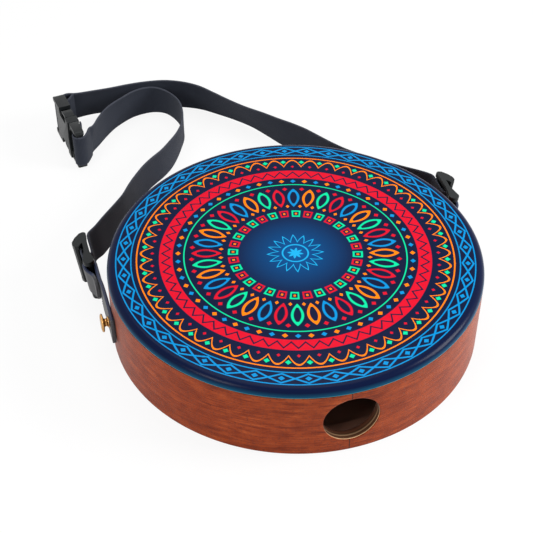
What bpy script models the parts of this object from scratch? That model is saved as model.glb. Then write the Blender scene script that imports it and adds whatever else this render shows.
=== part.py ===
"""Laptop cajon: a shallow round wooden drum with a webbing strap and side-release buckle.

Metres, +Z up. The origin is the centre of the underside. The sound port faces -Y,
and the strap turns about the X axis line through both brass strap buttons.
"""
import math

import bmesh
import bpy
import numpy as np
from mathutils import Matrix, Vector

MM = 0.001
GAP = 0.3 * MM

# Drum
DRUM_RADIUS = 150 * MM
HOOP_HEIGHT = 60 * MM
HOOP_WALL = 10 * MM
TAPA_THICKNESS = 6.7 * MM
TAPA_ROUNDING = 6.2 * MM
BOARD_THICKNESS = 5 * MM
LINING_WIDTH = 7.5 * MM
UPPER_LINING_HEIGHT = 12 * MM
LOWER_LINING_HEIGHT = 4.4 * MM
PORT_RADIUS = 21.8 * MM
PORT_HEIGHT = 32.3 * MM
BLOCK_WIDTH = 40 * MM
BLOCK_DEPTH = 16 * MM

# Snare
SNARE_BAR_WIDTH = 18 * MM
SNARE_BAR_HEIGHT = 9 * MM
SNARE_BAR_Y = 45 * MM
SNARE_PLATE_LENGTH = 74 * MM
SNARE_PLATE_THICKNESS = 1 * MM
SNARE_WIRE_RADIUS = 0.7 * MM
SNARE_WIRE_LENGTH = 105 * MM
SNARE_WIRES = 12

# Strap buttons and screws
BUTTON_HEIGHT = 30 * MM
BUTTON_HEAD_RADIUS = 7.5 * MM
BUTTON_NECK_RADIUS = 3.1 * MM
BUTTON_FLANGE_RADIUS = 4.6 * MM
BUTTON_LENGTH = 6.4 * MM
SCREW_RADIUS = 2 * MM
SCREW_HEAD_RADIUS = 3.8 * MM
SCREW_LENGTH = 32 * MM
SCREW_CLEARANCE = 0.3 * MM

# Strap
LEATHER_THICKNESS = 2.8 * MM
LEATHER_WIDTH = 26 * MM
WEBBING_WIDTH = 32 * MM
WEBBING_THICKNESS = 1.6 * MM
SLOT_CLEARANCE = 0.4 * MM
RAIL_WIDTH = 4 * MM
LOCK_STANDOFF = 6.6 * MM
LOCK_Y = 58.5 * MM
LOCK_BAR_RADIUS = 2.4 * MM
LOCK_LEAN = 0.12

# The free webbing's route was drawn beside a drum of this radius, and grows with the drum
ROUTE_RADIUS = 150 * MM

# Side-release buckle; its own frame has x from the female's back end to the male's end
BUCKLE_X = -148.2 * MM
BUCKLE_Y = 316 * MM
BUCKLE_TURN = math.radians(-81.3)
BUCKLE_LENGTH = 73 * MM
FEMALE_LENGTH = 51 * MM
HOUSING_THICKNESS = 11.5 * MM
CAVITY_THICKNESS = 7 * MM
PRONG_THICKNESS = 5.8 * MM
RAIL_THICKNESS = 9 * MM
PRONG_ROOT = (45.2 * MM, 11.8 * MM)
BAR_THICKNESS = 4.4 * MM

SLOT_HALF = WEBBING_WIDTH / 2 + SLOT_CLEARANCE
HARDWARE_HALF = SLOT_HALF + RAIL_WIDTH
INNER_RADIUS = DRUM_RADIUS - HOOP_WALL
LOCK_X = DRUM_RADIUS + LOCK_STANDOFF
ROUTE_GROWTH = DRUM_RADIUS / ROUTE_RADIUS
BUCKLE_PLACE = (BUCKLE_X * ROUTE_GROWTH, BUCKLE_Y * ROUTE_GROWTH)
TAPA_BOTTOM = HOOP_HEIGHT + GAP
BUTTON_SEAT = DRUM_RADIUS + GAP + LEATHER_THICKNESS + GAP

for old in list(bpy.data.objects):
    bpy.data.objects.remove(old, do_unlink=True)


def material(name, colour, roughness, metallic=0.0):
    made = bpy.data.materials.new(name)
    made.use_nodes = True
    shader = made.node_tree.nodes["Principled BSDF"]
    shader.inputs["Base Color"].default_value = (*colour, 1.0)
    shader.inputs["Roughness"].default_value = roughness
    shader.inputs["Metallic"].default_value = metallic
    return made


def finish(name, shape, look, parent=None, cutter=False):
    """Make an object of a bmesh, with faces out, and hang it on its parent."""
    bmesh.ops.remove_doubles(shape, verts=shape.verts, dist=1e-7)
    bmesh.ops.recalc_face_normals(shape, faces=shape.faces)
    mesh = bpy.data.meshes.new(name)
    shape.to_mesh(mesh)
    shape.free()
    thing = bpy.data.objects.new(name, mesh)
    bpy.context.collection.objects.link(thing)
    thing.parent = parent
    if cutter:
        thing.hide_render = True
        thing.display_type = "WIRE"
    else:
        mesh.materials.append(look)
        mesh.shade_smooth()
        mesh.set_sharp_from_angle(angle=math.radians(35))
    return thing


def pivot(name, place, turn=0.0, parent=None):
    empty = bpy.data.objects.new(name, None)
    bpy.context.collection.objects.link(empty)
    empty.location = place
    empty.rotation_euler = (0, 0, turn)
    empty.parent = parent
    return empty


def turned(profile, segments, closed_loop):
    """Spin a profile of (radius, height) round Z."""
    shape = bmesh.new()
    verts = [shape.verts.new((r, 0, z)) for r, z in profile]
    edges = [shape.edges.new(pair) for pair in zip(verts, verts[1:])]
    if closed_loop:
        edges.append(shape.edges.new((verts[-1], verts[0])))
    bmesh.ops.spin(shape, geom=verts + edges, cent=(0, 0, 0), axis=(0, 0, 1),
                   angle=2 * math.pi, steps=segments, use_merge=True)
    bmesh.ops.remove_doubles(shape, verts=shape.verts, dist=1e-6)
    return shape


def prism(outline, low, high, axis="Z"):
    """Push a flat outline along an axis; 'Y' takes the outline as (x, z)."""
    shape = bmesh.new()
    if axis == "Z":
        verts = [shape.verts.new((x, y, low)) for x, y in outline]
        step = Vector((0, 0, high - low))
    else:
        verts = [shape.verts.new((x, low, z)) for x, z in outline]
        step = Vector((0, high - low, 0))
    face = shape.faces.new(verts)
    pushed = bmesh.ops.extrude_face_region(shape, geom=[face])
    moved = [g for g in pushed["geom"] if isinstance(g, bmesh.types.BMVert)]
    bmesh.ops.translate(shape, vec=step, verts=moved)
    return shape


def arc(x, y, radius, start, end, steps):
    angles = np.radians(np.linspace(start, end, steps + 1))
    return [(x + radius * math.cos(a), y + radius * math.sin(a)) for a in angles]


def box_outline(x0, x1, y0, y1, radius, steps=3):
    return (arc(x1 - radius, y1 - radius, radius, 0, 90, steps)
            + arc(x0 + radius, y1 - radius, radius, 90, 180, steps)
            + arc(x0 + radius, y0 + radius, radius, 180, 270, steps)
            + arc(x1 - radius, y0 + radius, radius, 270, 360, steps))


def combine(target, others, operation="DIFFERENCE"):
    for other in others:
        step = target.modifiers.new(other.name, "BOOLEAN")
        step.operation = operation
        step.solver = "EXACT"
        step.object = other


def soften(thing, width, segments=2, angle=40):
    step = thing.modifiers.new("softened", "BEVEL")
    step.width = width
    step.segments = segments
    step.limit_method = "ANGLE"
    step.angle_limit = math.radians(angle)


def smooth(rows, splits):
    """Centripetal Catmull-Rom curve through rows, each span in equal shares."""
    rows = np.asarray(rows, float)
    full = np.vstack([2 * rows[0] - rows[1], rows, 2 * rows[-1] - rows[-2]])
    found = []
    for i in range(1, len(full) - 2):
        p = full[i - 1:i + 3]
        knots = np.concatenate([[0], np.cumsum(np.linalg.norm(np.diff(p[:, :3], axis=0), axis=1) ** 0.5)])
        for t in knots[1] + (knots[2] - knots[1]) * np.arange(splits) / splits:
            level = list(p)
            for depth in (1, 2, 3):
                level = [mix(level, knots, j, depth, t) for j in range(4 - depth)]
            found.append(level[0])
    return np.vstack([found, rows[-1]])


def mix(level, knots, j, depth, t):
    """One step of the pyramid of blends that the curve is made from."""
    low, high = (knots[j], knots[j + depth]) if depth < 3 else (knots[1], knots[2])
    if depth == 2:
        low, high = knots[j], knots[j + 2]
    share = (t - low) / (high - low)
    return (1 - share) * level[j] + share * level[j + 1]


def unit(vectors):
    return vectors / np.linalg.norm(vectors, axis=1)[:, None]


def strip(stations, half_width, thickness):
    """Loft a flat strip along stations of x, y, z and the plan tilt of its upper edge."""
    centre = stations[:, :3]
    across = unit(np.column_stack([stations[:, 3:5], np.ones(len(stations))]))
    along = unit(np.gradient(centre, axis=0))
    through = unit(np.cross(along, across)) * thickness / 2
    width = across * np.broadcast_to(half_width, len(stations))[:, None]
    corners = np.stack([centre - width - through, centre + width - through,
                        centre + width + through, centre - width + through], axis=1)
    shape = bmesh.new()
    rings = [[shape.verts.new(corner) for corner in ring] for ring in corners]
    for ring, after in zip(rings, rings[1:]):
        for k in range(4):
            shape.faces.new((ring[k], ring[(k + 1) % 4], after[(k + 1) % 4], after[k]))
    shape.faces.new(rings[0])
    shape.faces.new(rings[-1][::-1])
    return shape


def mirrored(rows, side):
    """Rows for the left side (side 1) or the right side (side -1)."""
    return np.asarray(rows, float) * np.array([side, 1, 1, side, 1])


wood = material("hoop_wood", (0.30, 0.075, 0.03), 0.45)
paint = material("tapa_paint", (0.004, 0.012, 0.05), 0.35)
plywood = material("bare_plywood", (0.35, 0.2, 0.1), 0.7)
brass = material("brass", (0.72, 0.42, 0.12), 0.3, 1.0)
steel = material("steel", (0.6, 0.6, 0.6), 0.35, 1.0)
leather = material("black_leather", (0.05, 0.05, 0.055), 0.5)
nylon = material("webbing_nylon", (0.02, 0.02, 0.028), 0.8)
plastic = material("black_plastic", (0.04, 0.045, 0.05), 0.4)


def ring(name, inner, outer, low, high, look, segments=120):
    profile = [(inner, low), (outer, low), (outer, high), (inner, high)]
    return finish(name, turned(profile, segments, True), look)


def make_drum():
    hoop = ring("hoop", INNER_RADIUS, DRUM_RADIUS, 0, HOOP_HEIGHT, wood)
    port = finish("port_cutter", turned([(0, 0), (PORT_RADIUS, 0), (PORT_RADIUS, 3 * HOOP_WALL),
                                         (0, 3 * HOOP_WALL)], 48, False), None, cutter=True)
    port.rotation_euler = (math.pi / 2, 0, 0)
    port.location = (0, HOOP_WALL - INNER_RADIUS, PORT_HEIGHT)
    shank = SCREW_RADIUS + SCREW_CLEARANCE
    reach = DRUM_RADIUS + HOOP_WALL
    drill = finish("screw_drill", turned([(0, -reach), (shank, -reach), (shank, reach), (0, reach)],
                                         12, False), None, cutter=True)
    drill.rotation_euler = (0, math.pi / 2, 0)
    drill.location = (0, 0, BUTTON_HEIGHT)
    combine(hoop, [port, drill])

    top = TAPA_BOTTOM + TAPA_THICKNESS
    turn = arc(DRUM_RADIUS - TAPA_ROUNDING, top - TAPA_ROUNDING, TAPA_ROUNDING, 0, 90, 7)
    profile = [(0, TAPA_BOTTOM), (DRUM_RADIUS, TAPA_BOTTOM)] + turn + [(0, top)]
    finish("tapa", turned(profile, 120, False), paint)
    board = INNER_RADIUS - GAP
    disc = [(0, 0), (board, 0), (board, BOARD_THICKNESS), (0, BOARD_THICKNESS)]
    finish("bottom_board", turned(disc, 96, False), plywood)
    ring("upper_lining", board - LINING_WIDTH, board, HOOP_HEIGHT - UPPER_LINING_HEIGHT,
         HOOP_HEIGHT, plywood, 96)
    lining_low = BOARD_THICKNESS + GAP
    ring("lower_lining", board - LINING_WIDTH, board, lining_low,
         lining_low + LOWER_LINING_HEIGHT, plywood, 96)

    half_angle = math.degrees(math.asin(BLOCK_WIDTH / 2 / board))
    block_low = lining_low + LOWER_LINING_HEIGHT + GAP
    block_high = HOOP_HEIGHT - UPPER_LINING_HEIGHT - GAP
    for name, side in (("left", -1), ("right", 1)):
        back = [(side * x, y) for x, y in arc(0, 0, board, -half_angle, half_angle, 8)]
        inner = side * (board - BLOCK_DEPTH)
        outline = back + [(inner, BLOCK_WIDTH / 2), (inner, -BLOCK_WIDTH / 2)]
        block = finish("button_block_" + name, prism(outline, block_low, block_high), plywood)
        combine(block, [drill])


def make_snare():
    wire_z = TAPA_BOTTOM - GAP - SNARE_WIRE_RADIUS
    plate_top = wire_z - SNARE_WIRE_RADIUS / 3
    bar_top = plate_top - SNARE_PLATE_THICKNESS - GAP
    reach = INNER_RADIUS - LINING_WIDTH - 2 * GAP
    low, high = SNARE_BAR_Y - SNARE_BAR_WIDTH / 2, SNARE_BAR_Y + SNARE_BAR_WIDTH / 2
    end = [(math.sqrt(reach ** 2 - y ** 2), y) for y in np.linspace(low, high, 4)]
    outline = end + [(-x, y) for x, y in reversed(end)]
    bar = prism(outline, bar_top - SNARE_BAR_HEIGHT, bar_top)
    finish("snare_bar", bar, plywood)
    half = SNARE_PLATE_LENGTH / 2
    edge = SNARE_BAR_WIDTH / 2 - 1.5 * MM
    outline = box_outline(-half, half, SNARE_BAR_Y - edge, SNARE_BAR_Y + edge, 2 * MM)
    plate = finish("snare_wires", prism(outline, plate_top - SNARE_PLATE_THICKNESS, plate_top), steel)
    spacing = (SNARE_PLATE_LENGTH - 10 * MM) / (SNARE_WIRES - 1)
    back = SNARE_BAR_Y + edge - 2 * MM
    for i in range(SNARE_WIRES):
        wire = bmesh.new()
        bmesh.ops.create_cone(wire, cap_ends=True, segments=6, radius1=SNARE_WIRE_RADIUS,
                              radius2=SNARE_WIRE_RADIUS, depth=SNARE_WIRE_LENGTH,
                              matrix=Matrix.Rotation(math.pi / 2, 4, "X"))
        strand = finish("snare_strand_%d" % i, wire, None, cutter=True)
        x = (i - (SNARE_WIRES - 1) / 2) * spacing
        strand.location = (x, back - SNARE_WIRE_LENGTH / 2, wire_z)
        combine(plate, [strand], "UNION")


def make_buttons():
    bore = SCREW_RADIUS + SCREW_CLEARANCE
    sink = SCREW_HEAD_RADIUS + SCREW_CLEARANCE
    depth = sink - bore
    top = BUTTON_LENGTH
    head = BUTTON_HEAD_RADIUS
    profile = [(bore, 0), (BUTTON_FLANGE_RADIUS, 0), (BUTTON_FLANGE_RADIUS, 0.7 * MM),
               (BUTTON_NECK_RADIUS + 0.5 * MM, 1.3 * MM), (BUTTON_NECK_RADIUS, 2.2 * MM),
               (BUTTON_NECK_RADIUS, 3 * MM), (BUTTON_NECK_RADIUS + 1 * MM, 3.7 * MM),
               (head - 0.6 * MM, top - 2.3 * MM), (head, top - 1.7 * MM), (head, top - 0.9 * MM),
               (head - 0.6 * MM, top - 0.4 * MM), (sink, top), (bore, top - depth)]
    for name, side in (("left", -1), ("right", 1)):
        screw_top = top - 0.1 * MM
        cone = SCREW_HEAD_RADIUS - SCREW_RADIUS
        tip = screw_top - SCREW_LENGTH
        shank = [(0, screw_top), (SCREW_HEAD_RADIUS, screw_top), (SCREW_RADIUS, screw_top - cone),
                 (SCREW_RADIUS, tip + 4 * MM), (0, tip)]
        for thing in (finish("strap_button_" + name, turned(profile, 32, True), brass),
                      finish("button_screw_" + name, turned(shank, 16, False), steel)):
            thing.rotation_euler = (0, side * math.pi / 2, 0)
            thing.location = (side * BUTTON_SEAT, 0, BUTTON_HEIGHT)


def lock_rows(points, side):
    """Plan points given from the lock's fixed bar: along the strap, and outward."""
    return [(-side * (LOCK_X + out * MM), LOCK_Y + along * MM, BUTTON_HEIGHT - LOCK_LEAN * out * MM,
             -side * LOCK_LEAN, 0) for along, out in points]


def make_tab(name, side, strap):
    """Leather folded round the fixed bar: the long layer, the turn, the short layer."""
    points = [(-71.7, -4.9), (-58, -4.9), (-42, -4.7), (-28, -4.4), (-16, -4.2), (-8, -4.6),
              (-1, -4.5), (2.6, -3.2), (4.4, 0), (3.0, 3.2), (-0.6, 4.5), (-6, 3.7),
              (-11, 1.2), (-15, -0.7), (-19, -1.15), (-23, -1.2)]
    rows = np.array(lock_rows(points, side))
    twist = np.clip((rows[:, 1] - 25 * MM) / (25 * MM), 0, 1)
    rows[:, 3] *= twist * twist * (3 - 2 * twist)
    rows[:, 2] = BUTTON_HEIGHT + (rows[:, 2] - BUTTON_HEIGHT) * rows[:, 3] / (-side * LOCK_LEAN)
    stations = smooth(rows, 3)
    walked = np.concatenate([[0], np.cumsum(np.linalg.norm(np.diff(stations[:, :3], axis=0), axis=1))])
    left_over = np.clip(1 - (walked[-1] - walked) / (11 * MM), 0, 1)
    half = LEATHER_WIDTH / 2 * np.sqrt(1 - 0.85 * left_over ** 2)
    tab = finish("leather_tab_" + name, strip(stations, half, LEATHER_THICKNESS), leather, strap)
    shank = SCREW_RADIUS + SCREW_CLEARANCE
    drill = finish("tab_drill_" + name, turned([(0, 0), (shank, 0), (shank, 2 * HOOP_WALL),
                                                (0, 2 * HOOP_WALL)], 12, False), None, strap, True)
    drill.rotation_euler = (0, math.pi / 2, 0)
    drill.location = (-side * DRUM_RADIUS - HOOP_WALL, 0, BUTTON_HEIGHT)
    combine(tab, [drill])


def make_lock(name, side, strap):
    """Ladder lock: two rails, the fixed bar, the toothed bar, the back bar and the lever."""
    def bar(label, outline, half, holder=True):
        points = [(along * MM, out * side * MM) for along, out in outline]
        return finish(label + name, prism(points, -half, half), plastic, place, holder)

    place = pivot("lock_place_" + name, (-side * LOCK_X, LOCK_Y, BUTTON_HEIGHT), math.pi / 2, strap)
    place.rotation_euler = (-side * math.atan(LOCK_LEAN), 0, math.pi / 2)
    bar_radius = LOCK_BAR_RADIUS / MM
    rail = arc(-3.2, 0, 4.7, 60, 300, 9) + [
        (4, -3.0), (10, -2.4), (24, -2.6), (30.5, -3.2), (32.2, -1.2), (31.6, 2.2), (27.5, 6.6),
        (22.6, 9.6), (19.4, 9.9), (16.4, 8.4), (15.4, 5.2), (17.6, 3.4), (19.4, 1.6), (10, 1.5), (4, 2.9)]
    lock = bar("strap_lock_", rail, HARDWARE_HALF, False)
    window = finish("lock_window_" + name, prism([(-12 * MM, -20 * MM), (45 * MM, -20 * MM),
                                                  (45 * MM, 20 * MM), (-12 * MM, 20 * MM)],
                                                 -SLOT_HALF, SLOT_HALF), None, place, True)
    reach = SLOT_HALF + RAIL_WIDTH / 2
    fixed = bar("lock_fixed_", arc(0, 0, bar_radius, 0, 324, 9), reach)
    teeth = [(10.4, 2.1), (10.2, -1.2), (11, -2.2), (14.4, -2.2), (15.2, -1), (15, 1.4), (14.3, 1.4),
             (13.6, 2.2), (12.9, 1.4), (12.2, 2.2), (11.5, 1.4)]
    toothed = bar("lock_toothed_", teeth, reach)
    back = bar("lock_back_", [(26.5, -2.1), (30.4, -2.3), (31.9, -1.1), (31.2, 1.4), (27.2, 1.2)], reach)
    lever = bar("lock_lever_", [(31.5, 0), (31.3, 2.3), (27.3, 6.5), (22.5, 9.5), (19.4, 9.8),
                                (16.5, 8.3), (16, 6.2), (20, 6.5), (24, 4.4), (27, 0.2)], reach)
    combine(lock, [window])
    combine(lock, [fixed, toothed, back, lever], "UNION")


def from_buckle(points, mid, tilt=(0, 0)):
    """Plan points in the buckle's own frame, in mm, as rows of a strap's route."""
    turn = np.array([[math.cos(BUCKLE_TURN), -math.sin(BUCKLE_TURN)],
                     [math.sin(BUCKLE_TURN), math.cos(BUCKLE_TURN)]])
    plan = np.array(points) * MM @ turn.T + np.array(BUCKLE_PLACE)
    return [(x, y, mid, *tilt) for x, y in plan]


def free_rows(rows):
    grown = ROUTE_GROWTH * MM
    return [(x * grown, y * grown, z * MM, tx, ty) for x, y, z, tx, ty in rows]


def make_webbing(strap, slide):
    """Webbing lies on edge; each run is a hand-chosen route with its lean."""
    rest = HARDWARE_HALF
    lock_run = lock_rows([(34, -4.9), (28, -4.1), (20, -4.3), (13.5, -4.3), (9.6, -3.8), (7.5, -0.4),
                          (8.8, 3.3), (11.6, 4.1), (15.5, 4.2), (19.5, 3.7)], 1)
    female_run = from_buckle([(-1.9, 15.8), (1.6, 12.6), (5.4, 9.2), (8.0, 5.2), (8.6, 1.4),
                              (7.9, -1.8), (5.4, -3.6), (2.2, -3.7), (-0.3, -2.2), (-1.4, 0.5),
                              (-2.8, 4.5), (-4.0, 10.5)], rest)
    far = [(-131.6, 322.5, 20, .05, -.12), (-113.7, 325.8, 18.8, .05, -.2), (-95.9, 326.8, 18, .03, -.16),
           (-77.6, 327.9, 17.2, .03, -.06), (-59.3, 327.6, 16.8, .03, 0), (-41.4, 325.4, 16.6, .02, 0),
           (-24.4, 319.5, 16.5, -.03, -.06), (-8.9, 309.7, 16.4, -.1, -.13), (4.5, 295.1, 16.4, -.19, -.19),
           (17.3, 279.8, 16.4, -.27, -.24), (29.9, 264.1, 16.4, -.3, -.22), (42.5, 247, 16.5, -.2, -.12),
           (53, 231.5, 16.7, -.1, -.05), (62.2, 219.5, 17, -.05, 0), (71, 207.5, 17.4, -.03, 0),
           (79, 193.5, 18, -.02, 0), (87, 178, 19, 0, .02), (97, 161, 20.5, 0, .05),
           (109, 144, 22.5, 0, .1), (121, 128, 25, 0, .12), (134, 113, 27.8, 0.05, .08)]
    right = female_run + free_rows(far) + list(mirrored(lock_run, -1))
    finish("webbing_right", strip(smooth(right, 3), WEBBING_WIDTH / 2, WEBBING_THICKNESS), nylon, strap)

    male_run = from_buckle([(46.8, 7.6), (50.5, 7.2), (54.6, 6.0), (58.8, 4.0), (61.0, 0.8),
                            (62.0, -2.6), (64.2, -4.6), (67.2, -5.4), (70.2, -4.6), (72.2, -2),
                            (72.6, 1), (70.9, 4.3), (66.3, 8.2), (60, 12.4)], rest)
    near = [(-124.8, 262.5, 19.4, .12, 0), (-116.4, 276.2, 18.3, .08, .03), (-107.4, 289.5, 17.3, .05, .02),
            (-97.5, 300.2, 16.8, .05, -.04), (-86.9, 308.4, 16.6, .05, -.07), (-76.1, 315, 16.6, .03, -.07),
            (-65.1, 318.2, 16.6, .01, -.06), (-54.1, 317.8, 16.6, -.03, -.09), (-45.2, 312.6, 16.6, -.1, -.1),
            (-38.1, 301.6, 16.6, -.1, -.04), (-33.8, 285.6, 16.6, -.05, 0), (-35.1, 267.2, 16.5, 0, 0),
            (-40.6, 250.4, 16.5, .07, -.04), (-48.5, 235, 16.5, .05, -.03), (-57.7, 221.9, 16.5, 0, 0),
            (-67.1, 211.3, 16.5, 0, 0), (-77.2, 202.5, 16.5, 0, 0), (-87, 192.8, 16.6, 0, 0),
            (-96, 181.2, 17, 0, 0), (-105.5, 165, 18.8, 0, .06), (-114.2, 148, 21, 0, .1),
            (-121, 137, 23, 0, .12), (-128.4, 125.5, 25, -.02, .15), (-136, 114, 27, -.05, .15),
            (-144, 102, 29, -.1, .08)]
    left = smooth(male_run + free_rows(near) + lock_run, 3)
    split = 3 * (len(male_run) - 1)
    finish("webbing_male_loop", strip(left[:split], WEBBING_WIDTH / 2, WEBBING_THICKNESS), nylon, slide)
    finish("webbing_left", strip(left[split:], WEBBING_WIDTH / 2, WEBBING_THICKNESS), nylon, strap)


def slab(name, outline, half, parent, holder=False):
    """A plate of the buckle: its outline in mm lies in the plane of length and width."""
    points = [(x * MM, z * MM) for x, z in outline]
    return finish(name, prism(points, -half, half, "Y"), plastic, parent, holder)


def make_female(place):
    half = HARDWARE_HALF / MM
    slot = SLOT_HALF / MM
    length = FEMALE_LENGTH / MM
    outline = (arc(3, half - 4, 3.4, 180, 90, 3) + [(12, half), (20, half), (length, half)]
               + [(length - 2, 8), (length - 2.6, 0), (length - 2, -8)]
               + [(length, -half), (20, -half), (12, -half)] + arc(3, 4 - half, 3.4, 270, 180, 3))
    female = slab("buckle_female", outline, HOUSING_THICKNESS / 2, place)
    thick = HOUSING_THICKNESS / 2 / MM
    plan = arc(3.4, thick - 3.4, 3.4, 90, 180, 5) + arc(3.4, 3.4 - thick, 3.4, 180, 270, 5) + [
        (length + 1, -thick), (length + 1, thick)]
    envelope = finish("female_envelope", prism([(x * MM, y * MM) for x, y in plan], -2 * HARDWARE_HALF,
                                               2 * HARDWARE_HALF), None, place, True)
    combine(female, [envelope], "INTERSECT")
    soften(female, 1.3 * MM, 3, 50)
    cavity = slab("female_cavity", box_outline(14, length + 9, -slot, slot, 0.5, 1),
                  CAVITY_THICKNESS / 2, place, True)
    back_slot = slab("female_slot", box_outline(-3, 11, -slot, slot, 0.8, 1), HOUSING_THICKNESS, place, True)
    windows = [slab("female_window_%d" % sign, [(x, sign * z) for x, z in
                                                ((23, half + 5), (23, 14.8), (25.5, 13), (42, 13),
                                                 (42, half + 5))],
                    HOUSING_THICKNESS, place, True) for sign in (1, -1)]
    combine(female, [cavity, back_slot] + windows)
    bar = slab("female_bar", box_outline(1.2, 5.4, -slot - 2, slot + 2, 0.8, 1), BAR_THICKNESS / 2, place, True)
    combine(female, [bar], "UNION")


def make_male(slide):
    half = HARDWARE_HALF / MM
    slot = SLOT_HALF / MM
    end = BUCKLE_LENGTH / MM
    start = FEMALE_LENGTH / MM + GAP / MM
    rail = [(start, 12), (start, half), (64, half)] + arc(end - 5, half - 4, 4, 80, 0, 3) + [
        (end - 1, slot), (54.5, slot), (52.5, 12)]
    thick = RAIL_THICKNESS / 2 / MM
    plan = [(start - 1, -thick)] + arc(end - thick, 0, thick, -90, 90, 10) + [(start - 1, thick)]
    envelope = finish("male_envelope", prism([(x * MM, y * MM) for x, y in plan], -2 * HARDWARE_HALF,
                                             2 * HARDWARE_HALF), None, slide, True)
    male = slab("buckle_male", rail, RAIL_THICKNESS / 2, slide)
    other = slab("male_rail", [(x, -z) for x, z in rail], RAIL_THICKNESS / 2, slide, True)
    for side_rail in (male, other):
        combine(side_rail, [envelope], "INTERSECT")
        soften(side_rail, 0.9 * MM, 2, 50)
    inside = slot - 0.5
    plate = slab("male_plate", box_outline(47.5, 50.5, -inside, inside, 0.6, 1), 3.1 * MM, slide, True)
    shoulders = [slab("male_shoulder_%d" % sign, [(x, sign * z) for x, z in
                                                  ((48.5, 12.2), (55, 12.2), (55, inside), (48.5, inside))],
                      3.1 * MM, slide, True) for sign in (1, -1)]
    middle = slab("male_middle_bar", box_outline(53, 58, -slot - 2, slot + 2, 0.8, 1),
                  BAR_THICKNESS / 2, slide, True)
    last = slab("male_end_bar", box_outline(65, 69, -slot - 2, slot + 2, 0.8, 1),
                BAR_THICKNESS / 2, slide, True)
    tongue = slab("male_tongue", box_outline(19, 49, -2.4, 2.4, 2, 3), 2.7 * MM, slide, True)
    combine(male, [plate] + shoulders + [middle, last, tongue, other], "UNION")


def make_prongs(slide):
    """Spring arms with barbed pads that fill the housing's side windows."""
    x, z = PRONG_ROOT[0] / MM, PRONG_ROOT[1] / MM
    arm = (arc(x, z, 1.9, -90, 90, 6) + [(42.4, 14.8), (41.2, 16), (40.8, 19.4), (36, 20.3), (31, 20.2),
                                         (27.6, 19), (25.2, 16.6), (25, 14.6), (27, 13.4), (36, 11.6)])
    pad = [(40.6, 17.6), (40.4, 19.8), (36, 20.4), (31, 20.3), (28, 19.2), (27.4, 17.6)]
    for name, sign in (("upper", 1), ("lower", -1)):
        place = pivot("prong_hinge_" + name, (x * MM, 0, sign * z * MM), 0, slide)
        prong = slab("prong_" + name, [(u - x, sign * (v - z)) for u, v in arm], PRONG_THICKNESS / 2, place)
        thick = slab("prong_pad_" + name, [(u - x, sign * (v - z)) for u, v in pad], 4.6 * MM, place, True)
        combine(prong, [thick], "UNION")


def main():
    make_drum()
    make_snare()
    make_buttons()
    strap = pivot("strap_pivot", (0, 0, 0))
    for name, side in (("left", 1), ("right", -1)):
        make_tab(name, side, strap)
        make_lock(name, side, strap)
    buckle = pivot("buckle_place", (*BUCKLE_PLACE, HARDWARE_HALF), BUCKLE_TURN, strap)
    slide = pivot("male_slide", (0, 0, 0), 0, buckle)
    loose = pivot("loop_slide", (0, 0, 0), 0, strap)
    make_webbing(strap, loose)
    make_female(buckle)
    make_male(slide)
    make_prongs(slide)


main()
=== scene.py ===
import math

import bmesh
import bpy
import numpy as np
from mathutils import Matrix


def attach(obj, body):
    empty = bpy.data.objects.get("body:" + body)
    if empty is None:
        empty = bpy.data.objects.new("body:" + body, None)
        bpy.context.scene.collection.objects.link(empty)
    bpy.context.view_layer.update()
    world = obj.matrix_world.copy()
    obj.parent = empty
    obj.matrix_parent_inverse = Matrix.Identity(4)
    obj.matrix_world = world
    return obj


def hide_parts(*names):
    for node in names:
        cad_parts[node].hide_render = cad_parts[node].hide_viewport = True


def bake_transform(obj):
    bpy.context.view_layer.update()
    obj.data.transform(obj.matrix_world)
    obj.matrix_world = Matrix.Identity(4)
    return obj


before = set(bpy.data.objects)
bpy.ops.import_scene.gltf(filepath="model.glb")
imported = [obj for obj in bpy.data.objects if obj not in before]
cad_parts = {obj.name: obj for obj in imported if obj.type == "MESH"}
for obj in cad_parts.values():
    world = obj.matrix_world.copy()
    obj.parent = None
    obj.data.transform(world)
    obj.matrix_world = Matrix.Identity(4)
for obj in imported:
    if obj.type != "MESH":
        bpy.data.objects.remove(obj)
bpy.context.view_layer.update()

# Hoop.
# The drum's side is a hoop of bent plywood with a reddish veneer outside,
# butt-jointed over the sound port, lacquered to a satin shine.
HOOP_OUTER = 0.150
HOOP_INNER = 0.140
HOOP_TOP = 0.060
PORT_RADIUS = 0.0218
PORT_CENTRE = 0.0323
PORT_PANEL = 0.20
PORT_STEPS = 24
VENEER_INSIDE = 0.1492
JOINT_TURN = 0.0078
JOINT_HALF = 0.0022
WELD = 2e-6


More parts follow.
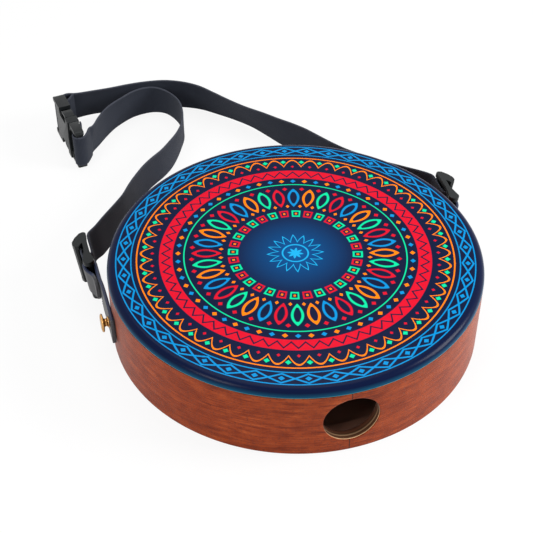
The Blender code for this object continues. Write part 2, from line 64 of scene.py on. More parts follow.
class Value:
    """A number, vector or colour that varies over a surface; sums on it add Math nodes."""

    def __init__(self, socket):
        self.socket = socket

    @staticmethod
    def node(tree, kind, settings=None, inputs=None, output=0):
        """Add a node of any kind: its settings first, then the values or links of its sockets."""
        made = tree.nodes.new(kind)
        for name, value in (settings or {}).items():
            if name == "stops":
                ramp = made.color_ramp
                while len(ramp.elements) < len(value):
                    ramp.elements.new(0.5)
                for stop, (place, colour) in zip(ramp.elements, value):
                    stop.position = place
                    stop.color = (*colour, 1)
            else:
                setattr(made, name, value)
        for name, value in (inputs or {}).items():
            if isinstance(value, Value):
                tree.links.new(value.socket, made.inputs[name])
            else:
                made.inputs[name].default_value = value
        return Value(made.outputs[output])

    def add(self, kind, settings=None, inputs=None, output=0):
        return Value.node(self.socket.node.id_data, kind, settings, inputs, output)

    def maths(self, operation, *others):
        return self.add("ShaderNodeMath", {"operation": operation}, dict(enumerate((self, *others))))

    def __add__(self, other):
        return self.maths("ADD", other)

    def __radd__(self, other):
        return self.maths("ADD", other)

    def __sub__(self, other):
        return self.maths("SUBTRACT", other)

    def __rsub__(self, other):
        return self.add("ShaderNodeMath", {"operation": "SUBTRACT"}, {0: other, 1: self})

    def __mul__(self, other):
        return self.maths("MULTIPLY", other)

    def __rmul__(self, other):
        return self.maths("MULTIPLY", other)

    def __truediv__(self, other):
        return self.maths("DIVIDE", other)

    def __pow__(self, other):
        return self.maths("POWER", other)

    def size(self):
        return self.maths("ABSOLUTE")

    def below(self, limit, soft=0.0):
        """1 where the value is under the limit, 0 above it, with a soft edge."""
        if not soft:
            return self.maths("LESS_THAN", limit)
        return ((limit - self) / soft + 0.5).clipped()

    def clipped(self):
        return self.add("ShaderNodeClamp", None, {0: self})

    def within(self, low, high, soft=0.0):
        middle = (low + high) / 2
        return (self - middle).size().below((high - low) / 2, soft)

    def share(self):
        """The fraction that is left after the whole turns are taken off."""
        return self.maths("FRACT")

    def wave(self):
        """A triangle wave of the value: 0 at whole numbers, 1 half-way between."""
        return 1 - (self.share() * 2 - 1).size()

    def parts(self):
        split = self.socket.node.id_data.nodes.new("ShaderNodeSeparateXYZ")
        self.socket.node.id_data.links.new(self.socket, split.inputs[0])
        return [Value(out) for out in split.outputs]

    def vector(self, x, y, z):
        return self.add("ShaderNodeCombineXYZ", None, {0: x, 1: y, 2: z})

    def noise(self, scale, detail=4.0, roughness=0.55, distortion=0.0):
        return self.add("ShaderNodeTexNoise", None, {"Vector": self, "Scale": scale, "Detail": detail,
                                                     "Roughness": roughness, "Distortion": distortion})

    def ramp(self, *stops):
        return self.add("ShaderNodeValToRGB", {"stops": stops}, {0: self})

    def mixed(self, low, high):
        """The colour low where the value is 0 and high where it is 1."""
        return self.add("ShaderNodeMix", {"data_type": "RGBA"},
                        {0: self, 6: colour(low), 7: colour(high)}, 2)

    def bump(self, distance, strength=1.0):
        return self.add("ShaderNodeBump", None, {"Height": self, "Distance": distance,
                                                 "Strength": strength})


def colour(value):
    return value if isinstance(value, Value) or len(value) == 4 else (*value, 1)


class Look:
    """A material of one Principled shader, with the object's coordinates at hand."""

    def __init__(self, name, **sockets):
        self.material = bpy.data.materials.new(name)
        self.material.use_nodes = True
        self.tree = self.material.node_tree
        self.shader = self.tree.nodes["Principled BSDF"]
        self.place = Value.node(self.tree, "ShaderNodeTexCoord", output=3)
        self.give(**sockets)

    def give(self, **sockets):
        for name, value in sockets.items():
            socket = self.shader.inputs[name.replace("_", " ").title().replace("Ior", "IOR")]
            if isinstance(value, Value):
                self.tree.links.new(value.socket, socket)
            else:
                socket.default_value = (*value, 1) if isinstance(value, tuple) else value


def placed(name, data):
    """A new object of the data, in the scene."""
    piece = bpy.data.objects.new(name, data)
    bpy.context.collection.objects.link(piece)
    return piece


def made_of(name, grids, look, sharp=35):
    """Join grids of points (rows by columns by 3) into one mesh, welded where they meet."""
    points = []
    faces = []
    count = 0
    for grid in grids:
        rows, columns = grid.shape[:2]
        number = np.arange(rows * columns).reshape(rows, columns) + count
        faces.append(np.stack([number[:-1, :-1], number[:-1, 1:], number[1:, 1:], number[1:, :-1]],
                              -1).reshape(-1, 4))
        points.append(grid.reshape(-1, 3))
        count += rows * columns
    mesh = bpy.data.meshes.new(name)
    mesh.from_pydata(np.vstack(points).tolist(), [], np.vstack(faces).tolist())
    shape = bmesh.new()
    shape.from_mesh(mesh)
    bmesh.ops.remove_doubles(shape, verts=shape.verts, dist=WELD)
    bmesh.ops.dissolve_degenerate(shape, edges=shape.edges, dist=1e-7)
    bmesh.ops.recalc_face_normals(shape, faces=shape.faces)
    shape.to_mesh(mesh)
    shape.free()
    mesh.shade_smooth()
    mesh.set_sharp_from_angle(angle=math.radians(sharp))
    mesh.materials.append(look.material)
    return placed(name, mesh)


def on_hoop(radius, turn, height):
    """Points at an angle round the drum from the port, x = r sin, y = -r cos."""
    return np.stack(np.broadcast_arrays(radius * np.sin(turn), -radius * np.cos(turn), height), -1)


side = np.linspace(-1, 1, PORT_STEPS + 1)
ones = np.ones(PORT_STEPS)
panel_turn = PORT_PANEL * np.concatenate([side[:-1], ones, -side[:-1], -ones, side[:1]])
panel_height = HOOP_TOP * (1 + np.concatenate([-ones, side[:-1], ones, -side[:-1], -ones[:1]])) / 2
heading = np.arctan2(panel_height - PORT_CENTRE, HOOP_OUTER * panel_turn)
blend_in = np.linspace(0, 1, 9)[:, None]
rims = {}
grids = []
rest_turn = np.linspace(PORT_PANEL, 2 * math.pi - PORT_PANEL, 361)
side_height = HOOP_TOP * (1 + side) / 2
for radius in (HOOP_OUTER, HOOP_INNER):
    rim_x = PORT_RADIUS * np.cos(heading)
    rim_turn = np.arcsin(rim_x / radius)
    rim_height = PORT_CENTRE + PORT_RADIUS * np.sin(heading)
    rims[radius] = on_hoop(radius, rim_turn, rim_height)
    grids.append(on_hoop(radius, rim_turn * (1 - blend_in) + panel_turn * blend_in,
                         rim_height * (1 - blend_in) + panel_height * blend_in))
    grids.append(on_hoop(radius, rest_turn[:, None], side_height[None, :]))
tunnel = np.linspace(0, 1, 7)[:, None, None]
grids.append(rims[HOOP_OUTER] * (1 - tunnel) + rims[HOOP_INNER] * tunnel)
all_turn = np.concatenate([PORT_PANEL * side, rest_turn[1:]])
wall = np.linspace(HOOP_INNER, HOOP_OUTER, 3)
for height in (0.0, HOOP_TOP):
    grids.append(on_hoop(wall[None, :], all_turn[:, None], height))

veneer = Look("mahogany_veneer", specular_ior_level=0.10, sheen_weight=0.2, sheen_roughness=0.3)
x, y, z = veneer.place.parts()
reach = (x * x + y * y).maths("SQRT")
turn = x.maths("ARCTAN2", y * -1)
along = turn * HOOP_OUTER
outside = 1 - reach.below(VENEER_INSIDE)
lines = z + (veneer.place.vector(along * 9, 0.0, z * 6).noise(1.0, 2, 0.5) - 0.5) * 0.012
fine = veneer.place.vector(along * 34, 0.0, lines * 1500).noise(1.0, 5, 0.62, 0.1)
broad = veneer.place.vector(along * 20, 0.0, lines * 130).noise(1.0, 4, 0.6, 0.2)
mottle = veneer.place.vector(along * 90, 0.0, z * 140).noise(1.0, 3, 0.55)
pores = veneer.place.vector(along * 420, 0.0, lines * 2600).noise(1.0, 1.5, 0.5)
pore = (1 - pores.below(0.60, 0.07)) * 0.7
grain = fine * 0.56 + broad * 0.24 + mottle * 0.20
veneer_red = grain.ramp((0.34, (0.095, 0.011, 0.002)), (0.46, (0.210, 0.028, 0.005)),
                        (0.55, (0.345, 0.056, 0.010)), (0.68, (0.50, 0.112, 0.026)))
veneer_red = pore.mixed(veneer_red, (0.055, 0.008, 0.004))
joint = (turn + JOINT_TURN).size().below(JOINT_HALF, 0.001) * outside
veneer_red = (joint * 0.95).mixed(veneer_red, (0.03, 0.008, 0.006))
ply = (reach * 1000 - HOOP_INNER * 1000) / 10
# Plies of the hoop's cut edge, from the inside face out. The inside face of the hoop is a deep dark brown,
# which is painted shade for the inside of the drum. The outermost ply is pale tan: partly its real pale cut
# edge, partly painted light, brightened so it shows in the shade of the port.
plies_with_painted_shade_and_light = ply.ramp((0.0, (0.05, 0.017, 0.010)), (0.3, (0.10, 0.038, 0.02)),
                 (0.42, (0.04, 0.018, 0.008)), (0.56, (0.34, 0.20, 0.11)),
                 (0.62, (0.06, 0.026, 0.013)), (0.84, (0.12, 0.05, 0.026)),
                 (0.87, (0.80, 0.50, 0.27)), (1.0, (0.90, 0.60, 0.34)))
veneer.give(base_color=outside.mixed(plies_with_painted_shade_and_light, veneer_red), roughness=fine * 0.12 + 0.36,
            normal=(fine * 0.4 - pore).bump(0.00010, 0.6))
hoop = made_of("hoop_shell", grids, veneer)
edge = hoop.modifiers.new("edges", "BEVEL")
edge.width = 0.0004
edge.segments = 2
edge.limit_method = "ANGLE"
edge.angle_limit = math.radians(50)
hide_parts("hoop")
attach(hoop, "drum")

# Tapa.
# The playing board is thick plywood glued over the hoop, painted midnight blue,
# printed with rings of bright motifs, then lacquered; its upper edge is rounded.
TAPA_LOW = 0.0603
TAPA_TOP = 0.067
TAPA_ROUND = 0.0062


def turned(profile, steps=360):
    """A profile of (radius, height) carried round the drum's axis."""
    profile = np.asarray(profile, float)
    angle = np.linspace(0, 2 * math.pi, steps + 1)[:, None]
    return on_hoop(profile[None, :, 0], angle, profile[None, :, 1])


bend = np.linspace(0, math.pi / 2, 13)
rounded = np.column_stack([HOOP_OUTER - TAPA_ROUND + TAPA_ROUND * np.cos(bend),
                           TAPA_TOP - TAPA_ROUND + TAPA_ROUND * np.sin(bend)])
profile = np.vstack([[(0, TAPA_LOW), (0.149, TAPA_LOW), (HOOP_OUTER - 0.0003, TAPA_LOW),
                      (HOOP_OUTER, TAPA_LOW + 0.0003)], rounded,
                     [(0.1, TAPA_TOP), (0.05, TAPA_TOP), (0, TAPA_TOP)]])

paint = Look("painted_board", specular_ior_level=0.07)
x, y, z = paint.place.parts()
ring = (x * x + y * y).maths("SQRT") * 1000
around = x.maths("ARCTAN2", y * -1) / (2 * math.pi) + 0.5
NAVY = (0.0012, 0.0058, 0.034)
GLOW = (0.0, 0.075, 0.26)
BLUE = (0.0, 0.25, 0.60)
RED = (0.66, 0.003, 0.022)
ORANGE = (1.0, 0.22, 0.0)
GREEN = (0.0, 0.68, 0.32)
SKY = (0.01, 0.38, 0.72)
soft = 0.35
height = z * 1000
base = (ring / 60).clipped().ramp((0.0, GLOW), (0.38, (0.0, 0.045, 0.16)),
                                  (0.74, (0.001, 0.014, 0.062)), (1.0, NAVY))
base = (ring.within(148.6, 170, 0.6) * height.below(63.0, 3.2)).mixed(base, (0.0035, 0.062, 0.13))
base = height.below(60.85, 0.2).mixed(base, (0.02, 0.36, 0.42))


def motif(mask, tint):
    """Print a tint over what is there wherever the mask is 1."""
    global base
    base = mask.mixed(base, tint)


def rule(inner, outer, tint):
    """A plain ring between two radii in mm."""
    motif(ring.within(inner, outer, soft), tint)


def spaced(count, offset=0.0):
    """The distance from the middle of the nearest of that many equal sectors, 0 to a half."""
    turns = around * count
    return ((turns + offset if offset else turns).share() - 0.5).size()


def every(count):
    """1 on the first half of each of that many equal sectors, 0 on the second."""
    return (around * count).share().below(0.5)


def lozenges(radius, rise, count, wide, tint, offset=0.0):
    """A ring of lozenges: radius and half height in mm, half width as a share of the spacing."""
    motif(((ring - radius).size() / rise + spaced(count, offset) / wide).below(1.0, 0.2), tint)


# Outer border: a chain of lozenges between two blue rules, each with a bead inside.
CHAIN_RADIUS = 136.6
CHAIN_RISE = 4.4
CHAIN_LINKS = 44
chain = (around * CHAIN_LINKS).wave() * CHAIN_RISE
rule(142.0, 143.0, BLUE)
for line in (ring - CHAIN_RADIUS - chain, ring - CHAIN_RADIUS + chain):
    motif(line.size().below(0.8, soft), BLUE)
lozenges(CHAIN_RADIUS, 2.2, CHAIN_LINKS, 0.13, BLUE)
rule(130.1, 131.1, BLUE)
# Orange scallops hung from a rule, a green bead in each and a red one below each tip.
SCALLOPS = 48
SCALLOP_RADIUS = 114.0
SCALLOP_RISE = 9.0
scallop = ring - SCALLOP_RADIUS - (spaced(SCALLOPS) * math.pi).maths("SINE") * SCALLOP_RISE
rule(125.6, 126.7, ORANGE)
motif(scallop.size().below(0.8, soft) * ring.within(112, 126, soft), ORANGE)
lozenges(120.6, 2.3, SCALLOPS, 0.15, GREEN)
lozenges(113.9, 1.6, SCALLOPS, 0.10, RED, 0.5)
# A straight red band with a zigzag let through it, and small lozenges inside it.
ZIGZAGS = 60
rule(97.6, 108.4, RED)
motif((ring - 103.0 - ((around * ZIGZAGS).wave() - 0.5) * 6.4).size().below(0.95, soft), NAVY)
lozenges(93.4, 2.2, ZIGZAGS, 0.24, every(30).mixed(BLUE, ORANGE))
rule(88.2, 89.2, GREEN)
# Petals in four colours like a slow sunburst, each with a dark heart.
PETALS = 36
PETAL_RADIUS = 70.8
PETAL_REACH = 12.2
PETAL_WIDTH = 0.40
petal = spaced(PETALS)
width = PETAL_WIDTH - ((ring - PETAL_RADIUS) / PETAL_REACH) ** 2 * PETAL_WIDTH
motif((petal - width).below(0, 0.05) * ring.within(58.8, 82.8, soft),
      every(9).mixed(every(18).mixed(RED, BLUE), every(18).mixed(ORANGE, GREEN)))
motif((petal - (width - 0.16)).below(0, 0.05) * ring.within(63.0, 78.6, soft), NAVY)
lozenges(82.6, 2.2, PETALS, 0.15, RED, 0.5)
lozenges(59.4, 2.0, PETALS, 0.15, ORANGE, 0.5)
# Stepped squares in red and green, open in the middle.
SQUARES = 32
block = (around * SQUARES).share()
for edge_share, inner, outer, tint in ((0.14, 45.6, 53.8, every(16).mixed(RED, GREEN)),
                                       (0.27, 47.2, 52.2, NAVY), (0.41, 48.6, 50.8, ORANGE)):
    motif(block.within(edge_share, 1 - edge_share, 0.06) * ring.within(inner, outer, soft), tint)
# A small sun in outline in the middle of the blue glow.
ray = ring - 13.6 - (around * 16).wave() * 8.6
motif(ray.size().below(0.9, soft) * ring.within(13.0, 40, soft), SKY)
rule(9.6, 10.9, SKY)
motif((ring - 3.0 - (around * 8).wave() * 3.6).below(0, 0.5), SKY)
wear = paint.place.noise(26.0, 5, 0.6)
paint.give(base_color=base, roughness=wear * 0.08 + 0.20,
           normal=paint.place.noise(90.0, 3, 0.5).bump(0.00004, 0.3))
tapa = made_of("tapa_board", [turned(profile)], paint)
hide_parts("tapa")
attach(tapa, "drum")

# Inside of the drum.
# The bottom board, linings, button blocks and snare bar are bare birch plywood,
# glued in; they show only through the sound port.
birch = Look("bare_plywood", roughness=0.72)
birch_grain = birch.place.vector(x * 160, y * 9, z * 120).noise(1.0, 5, 0.6, 0.4)
birch.give(base_color=birch_grain.ramp((0.3, (0.10, 0.040, 0.024)), (0.55, (0.16, 0.070, 0.042)),
                                       (0.75, (0.21, 0.10, 0.060))),
           normal=birch_grain.bump(0.0001, 0.4))


def worn_by(look, *names):
    """Put a look on the CAD pieces that are shown as they are."""
    for name in names:
        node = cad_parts[name]
        node.data.materials.clear()
        node.data.materials.append(look.material)


worn_by(birch, "bottom_board", "upper_lining", "lower_lining", "button_block_left",
        "button_block_right", "snare_bar")

# Snare wires and screws.
# Steel snare strands on their end plate, and the two countersunk button screws.
steel = Look("steel", metallic=1.0)
brushed = steel.place.vector(x * 900, y * 40, z * 900).noise(1.0, 3, 0.5)
steel.give(base_color=brushed.ramp((0.3, (0.42, 0.42, 0.43)), (0.7, (0.60, 0.60, 0.60))),
           roughness=brushed * 0.15 + 0.24)
worn_by(steel, "snare_wires", "button_screw_left", "button_screw_right")

# Strap buttons.
# Turned brass strap buttons: a flange on the leather, a waist and a round head,
# countersunk for the screw and polished.
BUTTON_SEAT = 0.1534
BUTTON_AXIS = 0.030
BUTTON_PROFILE = [(2.3, 0), (4.4, 0), (4.6, 0.15), (4.6, 0.6), (4.4, 0.85), (3.7, 1.25), (3.2, 1.9),
                  (3.1, 2.6), (3.3, 3.2), (3.9, 3.6), (5.4, 3.9), (6.9, 4.1), (7.3, 4.4), (7.5, 4.9),
                  (7.45, 5.4), (7.1, 5.8), (6.2, 6.15), (5.0, 6.36), (4.3, 6.4), (4.1, 6.36),
                  (2.3, 4.6), (2.3, 0)]
brass = Look("brass", metallic=1.0)
patina = brass.place.noise(320.0, 4, 0.6)
brass.give(base_color=patina.ramp((0.3, (0.46, 0.235, 0.075)), (0.7, (0.70, 0.40, 0.14))),
           roughness=patina * 0.2 + 0.2)
for name, hand in (("left", -1), ("right", 1)):
    ring_points = turned(np.array(BUTTON_PROFILE) * 0.001, 64)
    button = np.stack([hand * (BUTTON_SEAT + ring_points[..., 2]), ring_points[..., 1],
                       BUTTON_AXIS + ring_points[..., 0]], -1)
    piece = made_of("button_" + name, [button], brass, 40)
    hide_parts("strap_button_" + name)
    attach(piece, "drum")

# Leather tabs.
# Each tab is a strip of black bridle leather folded round the lock's fixed bar and
# stitched to itself; its edges are painted dark blue.
TAB_THICK = 0.0028
TAB_HALF = 0.013
LOCK_X = 0.1566
LOCK_Y = 0.0585
LEAN = 0.12
SEAM_START = 0.046
SEAM_END = 0.062
STITCH_STEP = 0.0026
SEAM_OFF_CENTRE = 0.0105
TAB_ROUTE = [(-71.7, -4.9), (-58, -4.9), (-42, -4.7), (-28, -4.4), (-16, -4.2), (-8, -4.6), (-1, -4.5),
             (2.6, -3.2), (4.4, 0), (3.0, 3.2), (-0.6, 4.5), (-6, 3.7), (-11, 1.2), (-15, -0.7),
             (-19, -1.15), (-23, -1.2)]


def smooth(rows, splits):
    """Centripetal Catmull-Rom curve: each span blends the four rows about it."""
    rows = np.asarray(rows, float)
    full = np.vstack([2 * rows[0] - rows[1], rows, 2 * rows[-1] - rows[-2]])
    gaps = np.linalg.norm(np.diff(full[:, :3], axis=0), axis=1) ** 0.5
    knots = np.concatenate([[0], np.cumsum(gaps)])
    found = []
    for i in range(1, len(full) - 2):
        t0, t1, t2, t3 = knots[i - 1:i + 3]
        p0, p1, p2, p3 = full[i - 1:i + 3]
        t = np.linspace(t1, t2, splits, endpoint=False)[:, None]
        a1 = (t1 - t) / (t1 - t0) * p0 + (t - t0) / (t1 - t0) * p1
        a2 = (t2 - t) / (t2 - t1) * p1 + (t - t1) / (t2 - t1) * p2
        a3 = (t3 - t) / (t3 - t2) * p2 + (t - t2) / (t3 - t2) * p3
        b1 = (t2 - t) / (t2 - t0) * a1 + (t - t0) / (t2 - t0) * a2
        b2 = (t3 - t) / (t3 - t1) * a2 + (t - t1) / (t3 - t1) * a3
        found.append((t2 - t) / (t2 - t1) * b1 + (t - t1) / (t2 - t1) * b2)
    return np.vstack([*found, rows[-1:]])


def unit(vectors):
    return vectors / np.linalg.norm(vectors, axis=-1, keepdims=True)


def walked(stations):
    return np.concatenate([[0], np.cumsum(np.linalg.norm(np.diff(stations[:, :3], axis=0), axis=1))])


def frame_of(stations):
    """The directions across and through a strip whose upper edge leans as its rows say."""
    across = unit(np.column_stack([stations[:, 3:5], np.ones(len(stations))]))
    along = unit(np.gradient(stations[:, :3], axis=0))
    return across, unit(np.cross(along, across))


def lock_rows(points, hand):
    return [(-hand * (LOCK_X + out * 0.001), LOCK_Y + along * 0.001, BUTTON_AXIS - LEAN * out * 0.001,
             -hand * LEAN, 0) for along, out in points]


def strip(name, stations, half, thickness, section, look):
    """A flat strip: a closed section of (across, through) shares carried along the stations,
    with the distance along it and across it kept as its UV map in metres."""
    across, through = frame_of(stations)
    half = np.broadcast_to(half, len(stations))[:, None, None]
    section = np.asarray(section, float)
    points = (stations[:, None, :3] + across[:, None, :] * section[None, :, :1] * half
              + through[:, None, :] * section[None, :, 1:] * thickness / 2)
    rows, columns = points.shape[:2]
    number = np.arange(rows * columns).reshape(rows, columns)
    after = np.roll(number, -1, axis=1)
    quads = np.stack([number[:-1], after[:-1], after[1:], number[1:]], -1).reshape(-1, 4)
    mesh = bpy.data.meshes.new(name)
    caps = [number[0][::-1].tolist(), number[-1].tolist()]
    mesh.from_pydata(points.reshape(-1, 3).tolist(), [], quads.tolist() + caps)
    far = np.repeat(walked(stations), columns)
    wide = (section[None, :, 0] * half[:, :, 0]).ravel()
    owner = np.empty(len(mesh.loops), np.int32)
    mesh.loops.foreach_get("vertex_index", owner)
    mesh.uv_layers.new(name="UVMap").data.foreach_set(
        "uv", np.column_stack([far[owner], wide[owner]]).astype(np.float32).ravel())
    shape = bmesh.new()
    shape.from_mesh(mesh)
    bmesh.ops.recalc_face_normals(shape, faces=shape.faces)
    shape.to_mesh(mesh)
    shape.free()
    mesh.shade_smooth()
    mesh.set_sharp_from_angle(angle=math.radians(60))
    mesh.materials.append(look.material)
    return placed(name, mesh)


def flat_section(round_off, steps):
    """Half-rounded corners on a flat strip: shares of the half width and half thickness."""
    turn = np.linspace(0, math.pi / 2, steps)
    side_across = 1 - round_off * (1 - np.sin(turn))
    corner = np.column_stack([side_across, np.cos(turn)])
    plain = np.linspace(-1 + 2 * round_off, 1 - 2 * round_off, 7)
    upper = np.column_stack([plain, np.ones(7)])
    lower_right = np.column_stack([side_across[::-1], -np.cos(turn[::-1])])[1:]
    lower = np.column_stack([plain[::-1], -np.ones(7)])
    left = np.column_stack([-side_across, -np.cos(turn)])
    upper_left = np.column_stack([-side_across[::-1], np.cos(turn[::-1])])[1:]
    return np.vstack([upper, corner, lower_right, lower, left, upper_left])


leather = Look("black_leather", roughness=0.42, specular_ior_level=0.4)
leather_uv = Value.node(leather.tree, "ShaderNodeUVMap", {"uv_map": "UVMap"})
v = leather_uv.parts()[1]
hide = leather.place.noise(900.0, 5, 0.62)
edge_paint = 1 - (v * 1000).size().below(12.45, 0.2)
dyed = hide.ramp((0.3, (0.026, 0.026, 0.029)), (0.7, (0.052, 0.052, 0.058)))
leather.give(base_color=edge_paint.mixed(dyed, (0.012, 0.020, 0.055)), normal=hide.bump(0.00014, 0.5))
thread = Look("thread", base_color=(0.018, 0.018, 0.022))
thread.give(roughness=thread.place.noise(2000.0) * 0.2 + 0.6)


def stitches(name, middles, directions, long, thick, look, body):
    """Short raised threads: each an ellipsoid, its middle on the surface, drawn out along the seam."""
    turn, rise = np.meshgrid(np.linspace(0, 2 * math.pi, 9), np.linspace(0, math.pi, 6), indexing="ij")
    ball = np.stack([np.cos(rise) * long / 2, np.sin(rise) * np.cos(turn) * thick / 2,
                     np.sin(rise) * np.sin(turn) * thick / 2], -1)
    grids = []
    for middle, (ahead, sideways, out) in zip(middles, directions):
        grids.append(middle + ball[..., :1] * ahead + ball[..., 1:2] * sideways + ball[..., 2:] * out)
    piece = made_of(name, grids, look, 80)
    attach(piece, body)
    return piece


for name, hand in (("left", 1), ("right", -1)):
    rows = np.array(lock_rows(TAB_ROUTE, hand))
    twist = np.clip((rows[:, 1] - 0.025) / 0.025, 0, 1)
    rows[:, 3] *= twist * twist * (3 - 2 * twist)
    rows[:, 2] = BUTTON_AXIS + (rows[:, 2] - BUTTON_AXIS) * rows[:, 3] / (-hand * LEAN)
    stations = smooth(rows, 10)
    distance = walked(stations)
    to_end = np.clip(1 - (distance[-1] - distance) / 0.011, 0, 1)
    to_front = np.clip(1 - distance / 0.0025, 0, 1)
    half = TAB_HALF * np.sqrt(1 - 0.85 * to_end ** 2) - 0.0022 * (1 - np.sqrt(1 - 0.98 * to_front ** 2))
    tab = strip("tab_" + name, stations, half, TAB_THICK, flat_section(0.05, 5), leather)
    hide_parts("leather_tab_" + name)
    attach(tab, "strap")
    across, through = frame_of(stations)
    outward = np.where(through[:, :1] * hand < 0, 1, -1) * through
    seam = np.searchsorted(distance, np.arange(SEAM_START, SEAM_END, STITCH_STEP))
    middles = []
    directions = []
    for k in seam:
        ahead = unit(stations[k + 1, :3] - stations[k, :3])
        for place in (-SEAM_OFF_CENTRE, SEAM_OFF_CENTRE):
            middles.append(stations[k, :3] + across[k] * place + outward[k] * (TAB_THICK / 2))
            directions.append((ahead, across[k], outward[k]))
    stitches("tab_stitches_" + name, middles, directions, 0.0019, 0.0006, thread, "strap")

# Webbing.
# The strap is 32 mm nylon webbing with a fine weave, lying on its edge where it
# rests; one run joins each lock to one half of the buckle, its end sewn back.
WEB_HALF = 0.016
WEB_THICK = 0.0016
BUCKLE_PLACE = np.array([-0.1482, 0.316])
BUCKLE_TURN = math.radians(-81.3)
BUCKLE_MID = 0.0204
SPLITS = 12


def buckle_rows(points):
    """Plan points in the buckle's own frame, in mm, as rows of a strap's route."""
    turn = np.array([[math.cos(BUCKLE_TURN), -math.sin(BUCKLE_TURN)],
                     [math.sin(BUCKLE_TURN), math.cos(BUCKLE_TURN)]])
    plan = np.array(points) * 0.001 @ turn.T + BUCKLE_PLACE
    return [(px, py, BUCKLE_MID, 0, 0) for px, py in plan]


def free_rows(rows):
    return [(px * 0.001, py * 0.001, pz * 0.001, lean_x, lean_y) for px, py, pz, lean_x, lean_y in rows]


lock_run = lock_rows([(34, -4.9), (28, -4.1), (20, -4.3), (13.5, -4.3), (9.6, -3.8), (7.5, -0.4), (8.8, 3.3),
                      (11.6, 4.1), (15.5, 4.2), (19.5, 3.7)], 1)
far_lock = np.array(lock_run) * np.array([-1, 1, 1, -1, 1])
female_run = buckle_rows([(-1.9, 15.8), (1.6, 12.6), (5.4, 9.2), (8.0, 5.2), (8.6, 1.4), (7.9, -1.8),
                          (5.4, -3.6), (2.2, -3.7), (-0.3, -2.2), (-1.4, 0.5), (-2.8, 4.5), (-4.0, 10.5)])
far_run = free_rows([
    (-131.6, 322.5, 20, .05, -.12), (-113.7, 325.8, 18.8, .05, -.2), (-95.9, 326.8, 18, .03, -.16),
    (-77.6, 327.9, 17.2, .03, -.06), (-59.3, 327.6, 16.8, .03, 0), (-41.4, 325.4, 16.6, .02, 0),
    (-24.4, 319.5, 16.5, -.03, -.06), (-8.9, 309.7, 16.4, -.1, -.13), (4.5, 295.1, 16.4, -.19, -.19),
    (17.3, 279.8, 16.4, -.27, -.24), (29.9, 264.1, 16.4, -.3, -.22), (42.5, 247, 16.5, -.2, -.12),
    (53, 231.5, 16.7, -.1, -.05), (62.2, 219.5, 17, -.05, 0), (71, 207.5, 17.4, -.03, 0),
    (79, 193.5, 18, -.02, 0), (87, 178, 19, 0, .02), (97, 161, 20.5, 0, .05), (109, 144, 22.5, 0, .1),
    (121, 128, 25, 0, .12), (134, 113, 27.8, 0.05, .08)])
male_run = buckle_rows([(46.8, 7.6), (50.5, 7.2), (54.6, 6.0), (58.8, 4.0), (61.0, 0.8), (62.0, -2.6),
                        (64.2, -4.6), (67.2, -5.4), (70.2, -4.6), (72.2, -2), (72.6, 1), (70.9, 4.3),
                        (66.3, 8.2), (60, 12.4)])
near_run = free_rows([
    (-124.8, 262.5, 19.4, .12, 0), (-116.4, 276.2, 18.3, .08, .03), (-107.4, 289.5, 17.3, .05, .02),
    (-97.5, 300.2, 16.8, .05, -.04), (-86.9, 308.4, 16.6, .05, -.07), (-76.1, 315, 16.6, .03, -.07),
    (-65.1, 318.2, 16.6, .01, -.06), (-54.1, 317.8, 16.6, -.03, -.09), (-45.2, 312.6, 16.6, -.1, -.1),
    (-38.1, 301.6, 16.6, -.1, -.04), (-33.8, 285.6, 16.6, -.05, 0), (-35.1, 267.2, 16.5, 0, 0),
    (-40.6, 250.4, 16.5, .07, -.04), (-48.5, 235, 16.5, .05, -.03), (-57.7, 221.9, 16.5, 0, 0),
    (-67.1, 211.3, 16.5, 0, 0), (-77.2, 202.5, 16.5, 0, 0), (-87, 192.8, 16.6, 0, 0),
    (-96, 181.2, 17, 0, 0), (-105.5, 165, 18.8, 0, .06), (-114.2, 148, 21, 0, .1),
    (-121, 137, 23, 0, .12), (-128.4, 125.5, 25, -.02, .15), (-136, 114, 27, -.05, .15),
    (-144, 102, 29, -.1, .08)])

web = Look("webbing", specular_ior_level=0.25, sheen_weight=0.05, sheen_roughness=0.4)
web_uv = Value.node(web.tree, "ShaderNodeUVMap", {"uv_map": "UVMap"})
u, v, _ = web_uv.parts()
ribs = (u * 900 + (v * 380).wave() * 0.5).wave()
cords = (v * 760).wave()
weave = ribs * 0.6 + cords * 0.4
selvedge = 1 - (v * 1000).size().below(14.9, 0.25)
cloth = weave.ramp((0.1, (0.0075, 0.0095, 0.016)), (0.5, (0.017, 0.021, 0.033)),
                   (0.95, (0.036, 0.042, 0.060)))
web.give(base_color=(selvedge * 0.55).mixed(cloth, (0.055, 0.06, 0.08)), roughness=0.88 - weave * 0.12,
         normal=weave.bump(0.00025, 0.8))
left = smooth(male_run + near_run + lock_run, SPLITS)
split = SPLITS * (len(male_run) - 1)
right = smooth(female_run + far_run + far_lock.tolist(), SPLITS)
section = flat_section(0.03, 4)
for name, node, stations, body in (("strap_right", "webbing_right", right, "strap"),
                                   ("strap_left", "webbing_left", left[split:], "strap"),
                                   ("strap_loop", "webbing_male_loop", left[:split + 1], "male_half")):
    band = strip(name, stations, WEB_HALF, WEB_THICK, section, web)
    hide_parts(node)
    if name == "strap_left":
        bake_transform(band)
    else:
        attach(band, body)

# Buckle and locks.
# Moulded acetal: a side-release buckle in two halves with two sprung prongs, and a
# ladder lock at each tab. Their edges are softly rounded and the surface is satin.
plastic = Look("black_plastic", specular_ior_level=0.18)
mould = plastic.place.noise(700.0, 3, 0.6)
plastic.give(base_color=mould.ramp((0.3, (0.008, 0.0095, 0.010)), (0.7, (0.013, 0.015, 0.016))),
             roughness=mould * 0.16 + 0.26, normal=mould.bump(0.00005, 0.4))


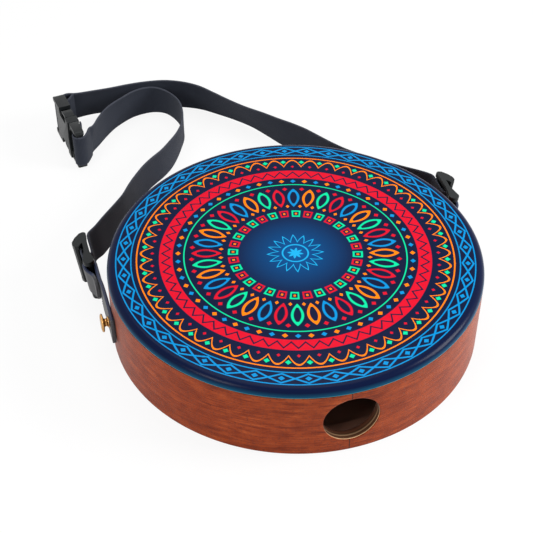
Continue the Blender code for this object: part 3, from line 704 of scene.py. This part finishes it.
def moulded(name, node, body, width):
    """A welded copy of the CAD solid with its flat faces joined and its edges rounded."""
    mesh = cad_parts[node].data.copy()
    mesh.name = name
    shape = bmesh.new()
    shape.from_mesh(mesh)
    bmesh.ops.remove_doubles(shape, verts=shape.verts, dist=WELD)
    bmesh.ops.dissolve_limit(shape, angle_limit=math.radians(1.5), verts=shape.verts, edges=shape.edges)
    shape.to_mesh(mesh)
    shape.free()
    mesh.shade_smooth()
    mesh.set_sharp_from_angle(angle=math.radians(38))
    mesh.materials.clear()
    mesh.materials.append(plastic.material)
    piece = placed(name, mesh)
    soften = piece.modifiers.new("soft_edges", "BEVEL")
    soften.width = width
    soften.segments = 3
    soften.limit_method = "ANGLE"
    soften.angle_limit = math.radians(38)
    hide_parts(node)
    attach(piece, body)


BUCKLE_EDGE = 0.0004
SMALL_EDGE = 0.0005
moulded("buckle_housing", "buckle_female", "strap", BUCKLE_EDGE)
moulded("buckle_insert", "buckle_male", "male_half", BUCKLE_EDGE)
moulded("buckle_prong_upper", "prong_upper", "upper_prong", SMALL_EDGE)
moulded("buckle_prong_lower", "prong_lower", "lower_prong", SMALL_EDGE)
moulded("ladder_lock_left", "strap_lock_left", "strap", SMALL_EDGE)
moulded("ladder_lock_right", "strap_lock_right", "strap", SMALL_EDGE)

# Floor, light and camera.
# A plain pale floor and white surroundings with three large soft lamps.
floor_mesh = bpy.data.meshes.new("floor")
floor_mesh.from_pydata([(-6, -6, 0), (6, -6, 0), (6, 6, 0), (-6, 6, 0)], [], [(0, 1, 2, 3)])
floor = placed("floor", floor_mesh)
floor.location.z = -0.0003
pale = Look("pale_floor", base_color=(0.9, 0.9, 0.9), roughness=0.6, specular_ior_level=0.2)
light_path = pale.tree.nodes.new("ShaderNodeLightPath")
glow = pale.tree.nodes.new("ShaderNodeEmission")
glow.inputs["Strength"].default_value = 1.0
blend_shader = pale.tree.nodes.new("ShaderNodeMixShader")
output = pale.tree.nodes["Material Output"]
pale.tree.links.new(pale.shader.outputs[0], blend_shader.inputs[1])
pale.tree.links.new(glow.outputs[0], blend_shader.inputs[2])
seen = Value(light_path.outputs["Is Glossy Ray"]).maths(
    "MAXIMUM", Value(light_path.outputs["Is Transmission Ray"]))
pale.tree.links.new((seen * 0.5 + Value(light_path.outputs["Is Camera Ray"]) * 0.88).socket,
                    blend_shader.inputs[0])
pale.tree.links.new(blend_shader.outputs[0], output.inputs["Surface"])
floor_mesh.materials.append(pale.material)

world = bpy.data.worlds.new("studio")
bpy.context.scene.world = world
world.use_nodes = True
sky = world.node_tree.nodes["Background"]
rays = world.node_tree.nodes.new("ShaderNodeLightPath")
bright = (Value(rays.outputs["Is Camera Ray"]).maths("MAXIMUM", Value(rays.outputs["Is Glossy Ray"]))
          .maths("MAXIMUM", Value(rays.outputs["Is Transmission Ray"])) * 0.6 + 0.4)
sky.inputs["Color"].default_value = (1, 1, 1, 1)
world.node_tree.links.new(bright.socket, sky.inputs["Strength"])


def lamp(name, place, aim, size, watts):
    light = bpy.data.lights.new(name, "AREA")
    light.size = size
    light.energy = watts
    piece = placed(name, light)
    piece.location = place
    toward = np.array(aim) - np.array(place)
    piece.rotation_euler = (math.atan2(math.hypot(toward[0], toward[1]), -toward[2]), 0,
                            math.atan2(-toward[0], toward[1]))


lamp("left_lamp", (-1.2, -0.7, 1.0), (0, 0, 0.03), 0.55, 10)
lamp("right_lamp", (1.3, -0.4, 0.8), (0, 0, 0.03), 0.7, 24)
lamp("top_lamp", (0.0, 0.5, 1.6), (0, 0, 0.03), 1.2, 10)

# The camera stands where the photograph was taken from.
camera_data = bpy.data.cameras.new("camera")
camera_data.lens = 82.77
camera_data.sensor_width = 36
camera = placed("camera", camera_data)
camera.location = (-0.21637, -0.70426, 0.70728)
ahead = np.array([0.1971, 0.7209, -0.6644])
camera.rotation_euler = (math.acos(-ahead[2]), 0, math.atan2(-ahead[0], ahead[1]))
bpy.context.scene.camera = camera
bpy.context.scene.view_settings.view_transform = "Standard"
